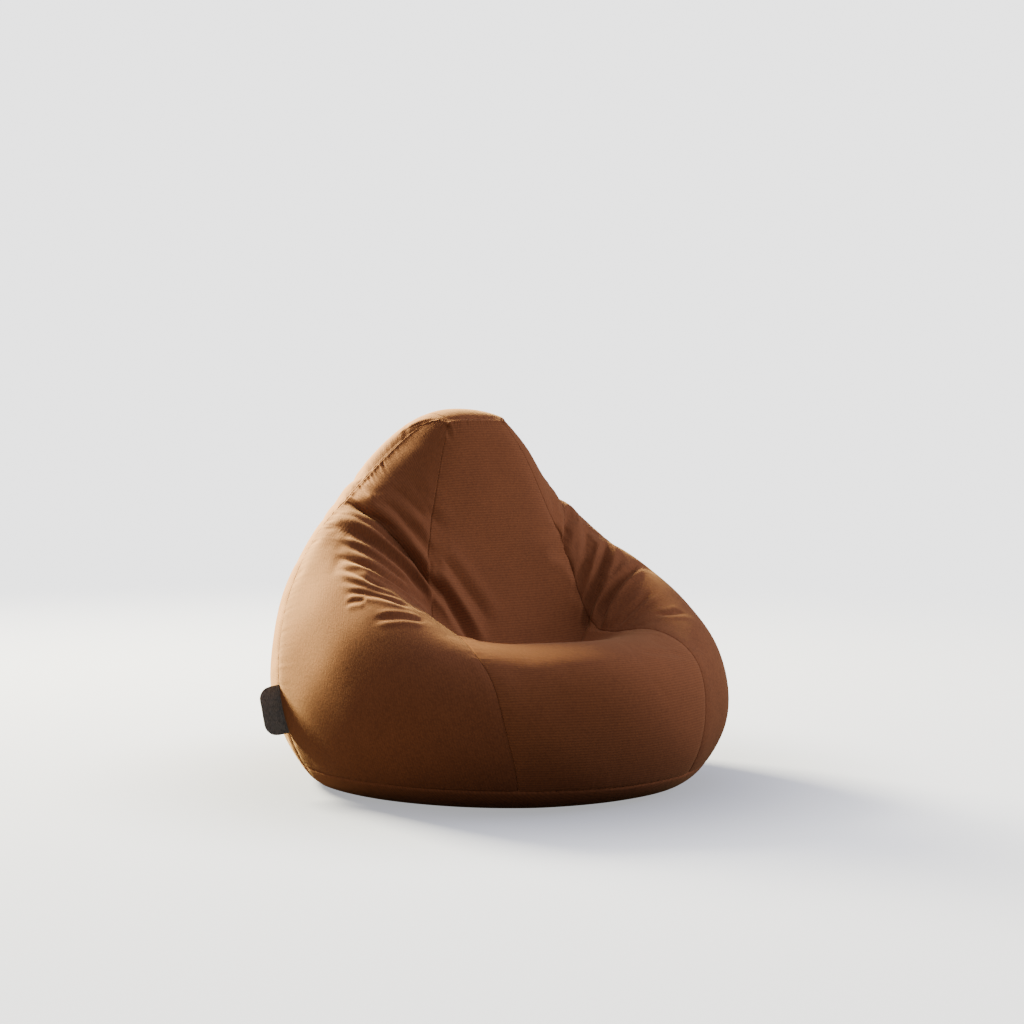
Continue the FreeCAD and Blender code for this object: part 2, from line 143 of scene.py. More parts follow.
def frame_at(net, u, v):
    """Points, unit normals out of the sack, and metres per unit of u and of v."""
    e = 0.002
    u0, u1 = np.clip(u - e, 0, 1), np.clip(u + e, 0, 1)
    v0, v1 = np.clip(v - e, 0, 1), np.clip(v + e, 0, 1)
    du = (place(net, u1, v) - place(net, u0, v)) / (u1 - u0)[..., None]
    dv = (place(net, u, v1) - place(net, u, v0)) / (v1 - v0)[..., None]
    out = np.cross(du, dv) * (1 if net is FRONT else -1)
    return place(net, u, v), unit(out), np.linalg.norm(du, axis=-1), np.linalg.norm(dv, axis=-1)


def seam_u(seam, v):
    vs, us = zip(*seam)
    soft = np.linspace(-0.04, 0.04, 9)
    return sum(np.interp(np.clip(v + s, 0, 1), vs, us) for s in soft) / len(soft)


CHAIN_HALF_DEGREES = 36.0
SLOT = 6.6 * MM
TURN_Y = 0.0200293                            # the cover's zip runs round this point
probe_u = np.linspace(0.5, 1, 200)
probe = place(REAR, probe_u, np.full(200, V_BASE))
turn = np.degrees(np.arctan2(probe[:, 0], probe[:, 1] - TURN_Y))
ZIP_U = float(np.interp(CHAIN_HALF_DEGREES + 1.2, turn, probe_u)) - 0.5
REAR_SPEED = float(np.linalg.norm(place(REAR, np.array([0.5]), np.array([V_BASE + 0.004]))
                                  - place(REAR, np.array([0.5]), np.array([V_BASE - 0.004]))) / 0.008)


# ------------------------------------------------------------------ folds and seams
# Each fold: its path over the surface, how deep it is and how wide, in millimetres.
FRONT_FOLDS = [
    # left arm, fanning out of the crease
    ([(0.010, 0.690), (0.07, 0.700), (0.13, 0.715), (0.19, 0.735)], 4.0, 8),
    ([(0.016, 0.633), (0.044, 0.629), (0.106, 0.647), (0.154, 0.674), (0.231, 0.692)], 7.0, 9),
    ([(0.035, 0.582), (0.075, 0.585), (0.120, 0.606), (0.165, 0.65)], 3.5, 7),
    ([(0.041, 0.533), (0.068, 0.532), (0.118, 0.555), (0.139, 0.58), (0.169, 0.622)], 6.0, 8),
    ([(0.055, 0.495), (0.096, 0.488), (0.13, 0.50)], 3.5, 7),
    ([(0.062, 0.459), (0.100, 0.460), (0.15, 0.49)], 3.0, 7),
    ([(0.073, 0.430), (0.118, 0.453), (0.165, 0.470)], 4.0, 8),
    ([(0.078, 0.408), (0.103, 0.428)], 2.5, 7),
    ([(0.111, 0.385), (0.153, 0.420), (0.181, 0.435)], 3.5, 8),
    # backrest, left of the middle
    ([(0.058, 0.859), (0.145, 0.857), (0.258, 0.854)], 4.0, 12),
    ([(0.037, 0.810), (0.103, 0.813), (0.194, 0.800), (0.27, 0.785)], 5.0, 12),
    ([(0.076, 0.895), (0.215, 0.881), (0.336, 0.848)], 3.0, 14),
    ([(0.277, 0.817), (0.354, 0.803), (0.425, 0.777), (0.47, 0.745)], 5.0, 14),
    ([(0.240, 0.752), (0.301, 0.753), (0.341, 0.740), (0.372, 0.720), (0.41, 0.68)], 11.0, 13),
    # right arm and the side of the backrest
    ([(0.940, 0.560), (0.837, 0.610), (0.784, 0.624), (0.73, 0.619)], 14.0, 9),
    ([(0.960, 0.640), (0.900, 0.642), (0.863, 0.648), (0.797, 0.665)], 5.0, 9),
    ([(0.900, 0.490), (0.841, 0.555), (0.797, 0.579), (0.74, 0.577)], 12.0, 9),
    ([(0.840, 0.470), (0.783, 0.510), (0.745, 0.535)], 4.5, 9),
    ([(0.826, 0.394), (0.794, 0.425), (0.777, 0.453)], 3.0, 9),
    ([(0.940, 0.720), (0.88, 0.735), (0.82, 0.75)], 4.0, 9),
    # a pucker where the top seam meets the backrest's left seam
    ([(0.205, 0.972), (0.247, 0.992), (0.290, 0.972)], 5.0, 5),
    # front panel, a shallow crease under the rim
    ([(0.700, 0.327), (0.620, 0.349), (0.552, 0.363)], 1.4, 9),
]
REAR_FOLDS = [
    ([(0.05, 0.80), (0.14, 0.76), (0.24, 0.74)], 3.5, 13),
    ([(0.95, 0.78), (0.87, 0.74), (0.77, 0.73)], 3.5, 13),
    ([(0.06, 0.66), (0.15, 0.60), (0.23, 0.58)], 2.5, 14),
    ([(0.93, 0.62), (0.85, 0.57), (0.78, 0.56)], 2.5, 14),
    ([(0.36, 0.86), (0.46, 0.83), (0.58, 0.84)], 2.5, 14),
    ([(0.30, 0.20), (0.36, 0.27), (0.45, 0.31)], 2.0, 16),
    ([(0.70, 0.18), (0.63, 0.26), (0.55, 0.28)], 2.0, 16),
]


def soft_step(x):
    x = np.clip(x, 0, 1)
    return x * x * (3 - 2 * x)


def smooth_path(points, count=48):
    """A curve through a few points, as many even steps."""
    p = np.array(points, float)
    s = np.concatenate([[0], np.cumsum(np.linalg.norm(np.diff(p, axis=0), axis=1))])
    for _ in range(2):
        q = np.linspace(0, s[-1], count)
        p = np.stack([np.interp(q, s, p[:, i]) for i in (0, 1)], 1)
        inner = p.copy()
        for _ in range(count // len(points)):
            inner[1:-1] = (inner[:-2] + 2 * inner[1:-1] + inner[2:]) / 4
        p = inner
        s = np.concatenate([[0], np.cumsum(np.linalg.norm(np.diff(p, axis=0), axis=1))])
    return p


def fold_relief(net, folds, p):
    """How far each point moves out or in for the folds."""
    out = np.zeros(len(p))
    for path, depth, width in folds:
        depth, width = depth * MM, width * MM
        line = smooth_path(path)
        q = place(net, line[:, 0], line[:, 1])
        lo, hi = q.min(0) - 4 * width, q.max(0) + 4 * width
        near = np.where(((p > lo) & (p < hi)).all(1))[0]
        if not len(near):
            continue
        gap = np.linalg.norm(p[near, None] - q[None], axis=2)
        k = gap.argmin(1)
        x = gap.min(1)
        along = k / (len(q) - 1)
        strength = soft_step(np.minimum(along, 1 - along) / 0.28)
        valley = 0.6 * np.exp(-(x / width) ** 2) + 0.4 * np.exp(-x / (0.55 * width))
        ridge = 0.45 * np.exp(-((x - 2.0 * width) / (1.0 * width)) ** 2)
        out[near] += depth * strength * (ridge - valley)
    return out


def ripple(s, seed, lengths):
    """A smooth wandering value along a seam, from -1 to 1."""
    rng = np.random.default_rng(seed)
    total = 0
    for length in lengths:
        total = total + np.sin(2 * math.pi * s / (length * MM) + rng.uniform(0, 6.28))
    return total / len(lengths)


def seam_relief(x, along, seed, soft=3.0, tight=2.4, gathers=0.7, reach=16):
    """Cloth drawn in at a seam x metres away, with small gathers running off it."""
    x = np.abs(x) / MM
    dip = -soft * np.exp(-(x / 13) ** 2) - tight * np.exp(-x / 1.2)
    pull = ripple(along, seed, (17, 23, 31, 12)) + 0.5 * ripple(along, seed + 1, (9, 7.5))
    return MM * (dip + gathers * pull * np.exp(-x / reach) * (1 - np.exp(-(x / 3) ** 2)))


def puckered(x, reach):
    """Nothing on the seam itself, most a few millimetres off it, fading over the reach."""
    return np.exp(-np.abs(x) / (reach * MM)) * (1 - np.exp(-(x / (4 * MM)) ** 2))


def front_relief(u, v, p, mu, mv):
    """How far the front surface stands out of or sinks into the plain shape."""
    left, right = seam_u(LEFT_SEAM, v), seam_u(RIGHT_SEAM, v)
    along_v, along_u = v * 1.35, u * 1.5             # rough metres along the surface
    d = seam_relief((u - left) * mu, along_v, 3, soft=1.6, gathers=0.4)
    d += seam_relief((u - right) * mu, along_v, 5, soft=1.6, gathers=0.4)
    d *= soft_step((v - V_BASE) / 0.008 + 0.5)
    upper = 0.5 + 1.6 * soft_step((v - 0.70) / 0.08)
    d += seam_relief(u * mu, along_v, 7, soft=2.0, gathers=0)
    d += seam_relief((1 - u) * mu, along_v, 9, soft=2.0, gathers=0)
    upper = upper * (1 - 0.75 * soft_step((v - 0.86) / 0.06))
    for x, seed in ((u * mu, 7), ((1 - u) * mu, 9)):
        pull = ripple(along_v, seed, (21, 29, 37, 15))
        d += MM * upper * 1.5 * pull * puckered(x, 30)
    d += seam_relief((v - V_BASE) * mv, along_u, 11, soft=0.3, tight=1.4, gathers=0.3,
                     reach=22)
    d += seam_relief((1 - v) * mv, along_u * 0.3, 13, soft=3.0, gathers=1.2)
    # the crease between each arm and the back, and along the seat
    side = soft_step((left - u) * 60 + 0.5) + soft_step((u - right) * 60 + 0.5)
    x = np.abs(v - V_ARM) * mv / MM
    deep = np.where(u < 0.5, 15.0, 8.0) * soft_step(np.minimum(u, 1 - u) / 0.05 + 0.12)
    valley = 0.55 * np.exp(-(x / 13) ** 2) + 0.45 * np.exp(-x / 6)
    swell = 0.5 * np.exp(-((x - 34) / 22) ** 2)
    d += MM * side * deep * (swell - valley)
    x = np.abs(v - V_SEAT) * mv / MM
    d += MM * (1 - side) * 9 * (-0.6 * np.exp(-(x / 14) ** 2) - 0.4 * np.exp(-x / 6))
    flat = p.reshape(-1, 3)
    d += fold_relief(FRONT, FRONT_FOLDS, flat).reshape(d.shape)
    return d + loose_cloth(p)


def rear_relief(u, v, p, mu, mv):
    along_v = v * 1.2
    d = seam_relief((u - U_REAR) * mu, along_v, 21, soft=1.8, gathers=0.5)
    d += seam_relief((u - 1 + U_REAR) * mu, along_v, 23, soft=1.8, gathers=0.5)
    d *= soft_step((v - V_BASE) / 0.008 + 0.5)
    for x, seed in ((u * mu, 7), ((1 - u) * mu, 9)):
        d += seam_relief(x, along_v, seed, soft=2.0, gathers=0)
        pull = ripple(along_v, seed + 20, (24, 31, 41, 17))
        upper = 0.4 + soft_step((v - 0.6) / 0.15)
        d += MM * upper * 1.1 * pull * puckered(x, 32)
    d += seam_relief((v - V_BASE) * mv, u * 1.2, 25, soft=0.3, tight=1.4, gathers=0.3, reach=20)
    d += seam_relief((1 - v) * mv, u * 0.45, 13, soft=3.0, gathers=1.2)
    flat = p.reshape(-1, 3)
    d += fold_relief(REAR, REAR_FOLDS, flat).reshape(d.shape)
    return d + loose_cloth(p)


def loose_cloth(p):
    """Broad unevenness of a cover over shifting beads, a millimetre or two."""
    x, y, z = p[..., 0], p[..., 1], p[..., 2]
    a = np.sin(19 * x + 7 * z + 1.3) * np.sin(17 * z - 5 * y + 0.4)
    b = np.sin(31 * y - 11 * x + 2.1) * np.sin(27 * z + 9 * x + 0.9)
    lift = soft_step((z - 0.02) / 0.06)
    return MM * lift * (1.5 * a + 0.9 * b)


def by_zip(u, v, mv):
    """1 beside the zip in the cover, where the cloth is held flat, down to 0 away from it."""
    across = np.exp(-((v - V_BASE) * mv / (16 * MM)) ** 2)
    return across * soft_step((ZIP_U + 0.03 - np.abs(u - 0.5)) / 0.03)


GRID_U, GRID_V = 129, 113                     # the coarse cloth that is simulated, about 12 mm a cell
drift = {}                                    # how far the simulation moved each of its points
seam_gap = {}                                 # what still parts the front and rear at shared seams


def between(grid, u, v):
    """Smooth values between the coarse cloth's points."""
    a, b = u * (GRID_U - 1), v * (GRID_V - 1)
    i, j = np.floor(a).astype(int), np.floor(b).astype(int)
    total = 0

    def weights(t):
        return ((1 - t) ** 3 / 6, (3 * t ** 3 - 6 * t ** 2 + 4) / 6,
                (-3 * t ** 3 + 3 * t ** 2 + 3 * t + 1) / 6, t ** 3 / 6)

    for k, wa in enumerate(weights(a - i)):
        ii = np.clip(i + k - 1, 0, GRID_U - 1)
        for m, wb in enumerate(weights(b - j)):
            jj = np.clip(j + m - 1, 0, GRID_V - 1)
            total = total + (wa * wb)[..., None] * grid[ii, jj]
    return total


def cover_at(net, u, v, raw=False):
    """Points of the finished cover's outside, and its normals."""
    u, v = np.broadcast_arrays(np.asarray(u, float), np.asarray(v, float))
    p, out, mu, mv = frame_at(net, u, v)
    front = net is FRONT
    if front:
        relief = front_relief(u, v, p, mu, mv)
    else:
        held = 1 - by_zip(u, v, mv)
        relief = np.maximum(rear_relief(u, v, p, mu, mv), REAR_LEAST) * held
    p = p + out * relief[..., None]
    if drift:
        move = between(drift[front], u, v)
        if not front:
            move = move * held[..., None]
            inward = np.minimum((move * out).sum(-1) + np.minimum(relief, 0) - REAR_LEAST, 0)
            move = move - out * inward[..., None]
        p = p + move
    p = p + slump(p) * (1 if front else held[..., None])
    if not raw:
        side = 0.5 if front else -0.5
        loose = 1.0
        for end in (0, 1):
            w = np.exp(-((u - end) * mu / (12 * MM)) ** 2)
            p = p + (side * w)[..., None] * row_at(seam_gap[end], v)
            loose = loose * (1 - w)
        w = np.exp(-((1 - v) * mv / (12 * MM)) ** 2) * loose
        p = p + (side * w)[..., None] * row_at(seam_gap["top"], u)
    p[..., 2] = np.maximum(p[..., 2], 0)
    return p, out


def row_at(row, t):
    x = np.linspace(0, 1, len(row))
    return np.stack([np.interp(t, x, row[:, k]) for k in range(3)], -1)


def meet_at_seams():
    """Measures how far the front and rear are apart along the side seams and the top seam."""
    t = np.linspace(0, 1, 500)
    for key, u, v in ((0, 0 * t, t), (1, 1 + 0 * t, t), ("top", t, 1 + 0 * t)):
        seam_gap[key] = cover_at(REAR, u, v, True)[0] - cover_at(FRONT, u, v, True)[0]


# Where the beads have slumped the sack out of true: a place, how far it moves, and over what reach.
SLUMPS = [((0.115, 0.145, 0.670), (18, -8, 8), 72),
          ((-0.020, 0.130, 0.745), (-2, 0, 11), 62),
          ((-0.380, 0.290, 0.200), (-10, 6, 0), 110),
          ((0.400, -0.270, 0.080), (9, -6, 0), 70)]


def slump(p):
    total = 0
    for spot, move, reach in SLUMPS:
        gap = ((p - np.array(spot)) ** 2).sum(-1)
        near = np.exp(-gap / (2 * (reach * MM) ** 2))
        total = total + np.array(move) * MM * near[..., None]
    return total


REAR_LEAST = -4.5 * MM                        # the rear cover sinks no further, clear of the liner
LINER_UNDER, LINER_T = 7.4 * MM, 0.8 * MM     # the liner's depth under the cover, and its cloth
FILL_UNDER, FILL_FLOOR, FILL_TOP = 13.5 * MM, 13.2 * MM, (HEIGHT - 28) * MM


# ------------------------------------------------------------------ cloth pieces
CLOTH_T = 1.6 * MM


def mesh_object(name, points, faces, uv=None):
    mesh = bpy.data.meshes.new(name)
    faces = np.asarray(faces, np.int32)
    mesh.vertices.add(len(points))
    mesh.vertices.foreach_set("co", np.asarray(points, np.float32).ravel())
    mesh.loops.add(faces.size)
    mesh.loops.foreach_set("vertex_index", faces.ravel())
    mesh.polygons.add(len(faces))
    mesh.polygons.foreach_set("loop_start", np.arange(0, faces.size, faces.shape[1], dtype=np.int32))
    mesh.update(calc_edges=True)
    mesh.polygons.foreach_set("use_smooth", np.ones(len(faces), bool))
    if uv is not None:
        layer = mesh.uv_layers.new(name="cut")
        layer.data.foreach_set("uv", np.asarray(uv, np.float32)[faces.ravel()].ravel())
    mesh.validate()
    obj = bpy.data.objects.new(name, mesh)
    bpy.context.scene.collection.objects.link(obj)
    return obj


def grid_faces(rows, cols, flip=False):
    i = np.arange(rows * cols).reshape(rows, cols)
    quads = [i[:-1, :-1], i[1:, :-1], i[1:, 1:], i[:-1, 1:]]
    return np.stack([q.ravel() for q in (quads[::-1] if flip else quads)], 1)


def grid_normals(p, flip):
    du, dv = np.gradient(p, axis=0), np.gradient(p, axis=1)
    return unit(np.cross(du, dv)) * (-1 if flip else 1)


def cloth_panel(name, p, uv, thickness=CLOTH_T, flip=False):
    """A panel of cloth with a real thickness and turned edges, from a grid of its outside."""
    rows, cols = p.shape[:2]
    inside = p - grid_normals(p, flip) * thickness
    n = rows * cols
    i = np.arange(n).reshape(rows, cols)
    rim = np.concatenate([i[:, 0], i[-1, 1:], i[-2::-1, -1], i[0, -2:0:-1]])
    nxt = np.roll(rim, -1)
    walls = np.stack([rim, nxt, nxt + n, rim + n], 1)
    if flip:
        walls = walls[:, ::-1]
    faces = np.concatenate([grid_faces(rows, cols, flip), grid_faces(rows, cols, not flip) + n,
                            walls])
    points = np.concatenate([p.reshape(-1, 3), inside.reshape(-1, 3)])
    return mesh_object(name, points, faces, np.concatenate([uv.reshape(-1, 2)] * 2))


def arc_lengths(p, axis):
    step = np.linalg.norm(np.diff(p, axis=axis), axis=-1)
    pad = [(0, 0), (0, 0)]
    pad[axis] = (1, 0)
    return np.cumsum(np.pad(step, pad), axis=axis)


def graded(length, step):
    """Fractions of a length, close together at both ends where the cloth turns into its seams."""
    near = np.array([0, 0.6, 1.2, 2.0, 3.1, 4.8]) * MM
    inner = np.linspace(near[-1], length - near[-1], int((length - 2 * near[-1]) / step) + 2)[1:-1]
    return np.concatenate([near, inner, length - near[::-1]]) / length


def panel_grid(net, u_lo, u_hi, v_lo, v_hi, step):
    """A grid over part of a surface. The limits in u are functions of v, those in v of u."""
    probe = place(net, np.linspace(u_lo(0.5), u_hi(0.5), 30)[:, None],
                  np.linspace(v_lo(0.5), v_hi(0.5), 30)[None])
    a = graded(arc_lengths(probe, 0)[-1].max(), step)[:, None]
    b = graded(arc_lengths(probe, 1)[:, -1].max(), step)[None]
    cols = len(a)
    v = v_lo(0.5) + (v_hi(0.5) - v_lo(0.5)) * b + 0 * a
    u = u_lo(v) + (u_hi(v) - u_lo(v)) * a
    for _ in range(2):
        v = v_lo(u) + (v_hi(u) - v_lo(u)) * b
        u = u_lo(v) + (u_hi(v) - u_lo(v)) * a
    p, out = cover_at(net, u, v)
    plain = place(net, u, v)
    across = arc_lengths(plain, 0)
    across = across - across[cols // 2:cols // 2 + 1]
    up = arc_lengths(plain, 1)
    return p, np.stack([across, up], -1)


def const(value):
    return lambda other: value + 0 * np.asarray(other, float)


def above_zip(u):
    """The back's lower edge, drawn back from the zip where it runs."""
    return V_BASE + slot_width(u)


def below_zip(u):
    return V_BASE - slot_width(u)


def slot_width(u):
    u = np.asarray(u, float)
    end = 0.5 - ZIP_U
    return SLOT / REAR_SPEED * soft_step((u - end) / 0.004) * soft_step((1 - end - u) / 0.004)


def left_of(v):
    return seam_u(LEFT_SEAM, v)


def right_of(v):
    return seam_u(RIGHT_SEAM, v)


PANELS = [
    # name, surface, u limits, v limits
    ("seat_front_panel", FRONT, left_of, right_of, const(V_BASE), const(V_SEAT)),
    ("backrest_panel", FRONT, left_of, right_of, const(V_SEAT), const(1.0)),
    ("arm_panel_left", FRONT, const(0.0), left_of, const(V_BASE), const(V_ARM)),
    ("arm_panel_right", FRONT, right_of, const(1.0), const(V_BASE), const(V_ARM)),
    ("backrest_side_left", FRONT, const(0.0), left_of, const(V_ARM), const(1.0)),
    ("backrest_side_right", FRONT, right_of, const(1.0), const(V_ARM), const(1.0)),
    ("rear_side_left", REAR, const(0.0), const(U_REAR), above_zip, const(1.0)),
    ("rear_side_right", REAR, const(1 - U_REAR), const(1.0), above_zip, const(1.0)),
    ("back_panel", REAR, const(U_REAR), const(1 - U_REAR), above_zip, const(1.0)),
]
STEP = 3.4 * MM


def base_grid():
    """The flat base and the band that curves up from it, as rings round the middle."""
    step = 5 * MM
    fu = np.linspace(0, 1, int(1.35 / step))
    ru = np.linspace(1, 0, int(1.15 / step))[1:-1]
    rows = []
    for k in range(15):
        f, _ = cover_at(FRONT, fu, np.full(len(fu), V_BASE * k / 14))
        v = below_zip(ru) * k / 14
        r, _ = cover_at(REAR, ru, v)
        rows.append(np.concatenate([f, r]))
    edge = rows[0]
    middle = edge.mean(0)
    rings = [middle + (edge - middle) * s for s in np.linspace(0.02, 1, 60)[:-1]]
    return np.array(rings + rows)


def base_panel():
    p = base_grid()
    rings, count = p.shape[:2]
    p = np.concatenate([p, p[:, :1]], 1)
    out = unit(np.cross(np.gradient(p, axis=1), np.gradient(p, axis=0)))
    out[:, 0] = out[:, -1] = unit(out[:, 0] + out[:, -1])
    inside = (p - out * CLOTH_T)[:, :-1]
    p = p[:, :-1]
    n = rings * count
    i = np.arange(n).reshape(rings, count)
    j = np.roll(i, -1, axis=1)
    outer = np.stack([i[:-1].ravel(), i[1:].ravel(), j[1:].ravel(), j[:-1].ravel()], 1)
    walls = np.stack([i[-1], i[-1] + n, j[-1] + n, j[-1]], 1)
    faces = np.concatenate([outer, outer[:, ::-1] + n, walls])
    points = np.concatenate([p.reshape(-1, 3), inside.reshape(-1, 3)])
    obj = mesh_object("base_panel_cloth", points, faces, points[:, :2])
    face_outward(obj, close_holes=True)
    return obj


def face_outward(obj, close_holes=False):
    b = bmesh.new()
    b.from_mesh(obj.data)
    if close_holes:
        bmesh.ops.holes_fill(b, edges=[e for e in b.edges if e.is_boundary], sides=0)
        bmesh.ops.triangulate(b, faces=[f for f in b.faces if len(f.verts) > 4])
    bmesh.ops.recalc_face_normals(b, faces=b.faces)
    b.to_mesh(obj.data)
    b.free()


def swell():
    """Lets the whole cover settle as cloth over the fill's pressure, held along its seams.

    What is kept is the unevenness this gives: the broad swelling is mostly taken back out, so
    that the sack keeps its size."""
    u, v = np.meshgrid(np.linspace(0, 1, GRID_U), np.linspace(0, 1, GRID_V), indexing="ij")
    f, _ = cover_at(FRONT, u, v)
    r, _ = cover_at(REAR, u, v)
    n = GRID_U * GRID_V
    index = np.arange(n).reshape(GRID_U, GRID_V)
    number = {True: index, False: index + n}                     # the front's points, the rear's
    number[False][[0, -1]] = number[True][[0, -1]]
    number[False][:, -1] = number[True][:, -1]
    points = np.concatenate([f.reshape(-1, 3), r.reshape(-1, 3)])

    corners = grid_faces(GRID_U, GRID_V)
    faces = np.concatenate([number[True].ravel()[corners], number[False].ravel()[corners[:, ::-1]]])
    used = np.unique(faces)
    renumber = np.zeros(2 * n, int)
    renumber[used] = np.arange(len(used))
    obj = mesh_object("cloth_pattern", points[used], renumber[faces])
    start = points[used]

    # how firmly each point is held: fully at the base, well along seams and folded places
    hold = np.zeros(2 * n)
    _, _, mu, mv = frame_at(FRONT, u, v)
    near = np.minimum(np.abs(u - seam_u(LEFT_SEAM, v)), np.abs(u - seam_u(RIGHT_SEAM, v))) * mu
    near = np.minimum(near, np.minimum(u, 1 - u) * mu)
    hold[:n] = (0.8 * np.exp(-(near / (9 * MM)) ** 2)).ravel()
    _, _, mu, mv = frame_at(REAR, u, v)
    near = np.minimum(np.abs(u - U_REAR), np.abs(u - 1 + U_REAR)) * mu
    near = np.minimum(near, np.minimum(u, 1 - u) * mu)
    hold[n:] = (0.8 * np.exp(-(near / (9 * MM)) ** 2)).ravel()
    base = np.concatenate([v.ravel(), v.ravel()]) <= V_BASE + 0.01
    hold[base] = 1.0
    hold = np.clip(hold[used] + 0.04, 0, 1)
    group = obj.vertex_groups.new(name="held")
    for level in range(1, 21):
        which = np.where(np.round(hold * 20) == level)[0]
        if len(which):
            group.add(which.tolist(), level / 20, "REPLACE")
    cloth = obj.modifiers.new("Cloth", "CLOTH")
    c = cloth.settings
    c.quality = 6
    c.mass = 0.35
    c.tension_stiffness = c.compression_stiffness = 40
    c.shear_stiffness = 12
    c.bending_stiffness = 0.6
    c.use_pressure = True
    c.uniform_pressure_force = PRESSURE
    c.effector_weights.gravity = 0
    c.vertex_group_mass = "held"
    c.pin_stiffness = 1.0
    c.shrink_min = c.shrink_max = -SPARE_CLOTH
    cloth.collision_settings.use_collision = False
    scene = bpy.context.scene
    cloth.point_cache.frame_start, cloth.point_cache.frame_end = 1, 20
    for frame_number in range(1, 21):
        scene.frame_set(frame_number)
    shown = obj.evaluated_get(bpy.context.evaluated_depsgraph_get()).to_mesh()
    end = np.empty(len(start) * 3, np.float32)
    shown.vertices.foreach_get("co", end)
    move = end.reshape(-1, 3).astype(float) - start
    far = np.linalg.norm(move, axis=1, keepdims=True)
    print("CLOTH moved", np.round(np.percentile(far, [50, 90, 99, 100]) * 1000, 2))
    move *= np.minimum(1, CAP / np.maximum(far, 1e-9))
    scene.frame_set(1)
    bpy.data.objects.remove(obj)
    every = np.zeros((2 * n, 3))
    every[used] = move
    for front in (True, False):
        d = every[number[front]]
        broad = d.copy()
        for _ in range(30):
            for axis in (0, 1):
                pad = [(0, 0)] * 3
                pad[axis] = (1, 1)
                q = np.pad(broad, pad, mode="edge")
                a = np.take(q, range(q.shape[axis] - 2), axis)
                b = np.take(q, range(2, q.shape[axis]), axis)
                broad = (a + 2 * broad + b) / 4
        if front:
            kept = 0.12 + 0.88 * soft_step((v - 0.40) / 0.14)    # little on the taut lower front
        else:
            kept = 0.3 + 0.4 * soft_step((v - 0.45) / 0.2)
        kept = kept * (1 - 0.92 * soft_step((v - 0.79) / 0.07))  # and little on the crown
        drift[front] = drift.get(front, 0) + (d - 0.75 * broad) * kept[..., None]


def round_the_crown(reach):
    """Draws the stiff edges of the plain shape at the crown and shoulders into a soft dome."""
    u, v = np.meshgrid(np.linspace(0, 1, GRID_U), np.linspace(0, 1, GRID_V), indexing="ij")
    both = [cover_at(net, u, v)[0] for net in (FRONT, REAR)]
    area = [np.linalg.norm(np.cross(np.gradient(p, axis=0), np.gradient(p, axis=1)), axis=-1)
            for p in both]
    high = [p[..., 2] > 0.50 for p in both]
    fine = np.zeros((GRID_U, GRID_V), bool)
    fine[::2] = True
    source = np.concatenate([p[h & fine] for p, h in zip(both, high)])
    weight = np.concatenate([a[h & fine] for a, h in zip(area, high)]) + 1e-9

    def soften(targets, values):
        out = np.empty_like(targets)
        for k in range(0, len(targets), 1500):
            gap = ((targets[k:k + 1500, None] - source[None]) ** 2).sum(-1)
            w = np.exp(-gap / (2 * reach ** 2)) * weight
            out[k:k + 1500] = (w @ values) / w.sum(1, keepdims=True)
        return out

    moved_source = soften(source, source) - source
    for net, p, h in ((True, both[0], high[0]), (False, both[1], high[1])):
        targets = p[h]
        move = soften(targets, source) - targets
        move -= soften(targets, moved_source)
        strength = soft_step((targets[:, 2] - 0.53) / 0.10)[:, None]
        grid = np.zeros(p.shape)
        grid[h] = move * strength
        drift[net] = drift.get(net, 0) + grid


PRESSURE = 4.0
SPARE_CLOTH = 0.02
CAP = 9 * MM

meet_at_seams()
round_the_crown(24 * MM)
meet_at_seams()
swell()
meet_at_seams()


# ------------------------------------------------------------------ layers under the cover
def under_front(u, v, depth):
    """A smooth layer this far under the cover's front, below its every fold."""
    plain_p, out, _, _ = frame_at(FRONT, u, v)
    sunk = ((cover_at(FRONT, u, v)[0] - plain_p) * out).sum(-1)
    rows, cols = sunk.shape
    for pick in (np.min, np.min, np.mean, np.mean, np.mean):     # lowest nearby, then evened out
        q = np.pad(sunk, 1, mode="edge")
        sunk = pick([q[i:i + rows, j:j + cols] for i in range(3) for j in range(3)], 0)
    return plain_p + out * (np.minimum(sunk, 0) - depth)[..., None]


def liner_front_cloth():
    """The liner's front, one smooth sheet from the base seam to the top."""
    u, v = np.meshgrid(np.linspace(0.004, 0.996, 150), np.linspace(V_BASE, 0.99, 130), indexing="ij")
    p = under_front(u, v, LINER_UNDER)
    uv = np.stack([arc_lengths(p, 0), arc_lengths(p, 1)], -1)
    return cloth_panel("liner_front_cloth", p, uv, LINER_T)


